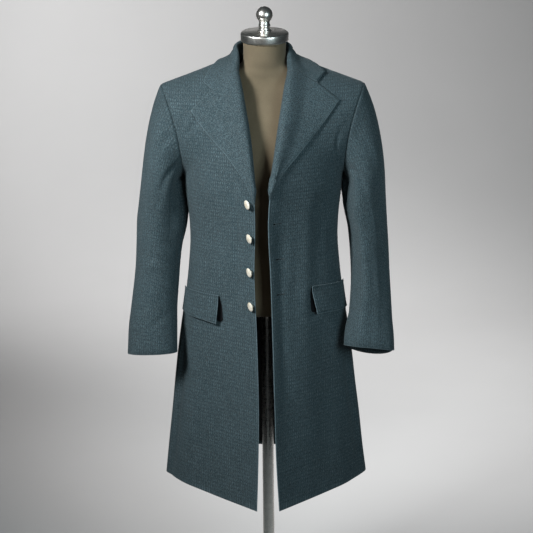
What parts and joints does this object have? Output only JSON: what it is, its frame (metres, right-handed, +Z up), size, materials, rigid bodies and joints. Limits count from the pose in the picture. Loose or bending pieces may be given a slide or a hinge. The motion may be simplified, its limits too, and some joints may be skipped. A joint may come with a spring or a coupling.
{
  "type": "frock coat on a limbless dress form with a pole stand",
  "caption": "Knee-length frock coat with wide notched lapels, pocket flaps and pale shank buttons, hanging open on a limbless dress form on a steel pole and round foot",
  "frame": {"origin": "the centre of the foot's underside, on the floor", "axes": "+Z up; the coat's front faces -Y; the wearer's right is at -X and left at +X"},
  "size_m": [0.626, 0.391, 1.597],
  "materials": {
    "wool": "dark blue-grey birdseye wool, matt, slightly napped",
    "satin": "black satin lining",
    "pearl": "pale shell, polished",
    "canvas": "tan cotton cover, stretched smooth",
    "steel": "polished to a soft satin"
  },
  "bodies": {
    "root": {"front_right": "wool", "front_left": "wool", "back_right": "wool", "back_left": "wool", "sleeve_right_top": "wool", "sleeve_right_under": "wool", "sleeve_left_top": "wool", "sleeve_left_under": "wool", "collar": "wool", "lapel_right": "wool", "lapel_left": "wool", "flap_right": "wool", "flap_left": "wool", "lining_right": "satin", "lining_left": "satin", "button_1": "pearl", "button_2": "pearl", "button_3": "pearl", "button_4": "pearl", "form_torso": "canvas", "form_cap": "steel", "form_finial": "steel", "stand_pole": "steel", "stand_socket": "steel", "stand_base": "steel"}
  },
  "joints": []
}
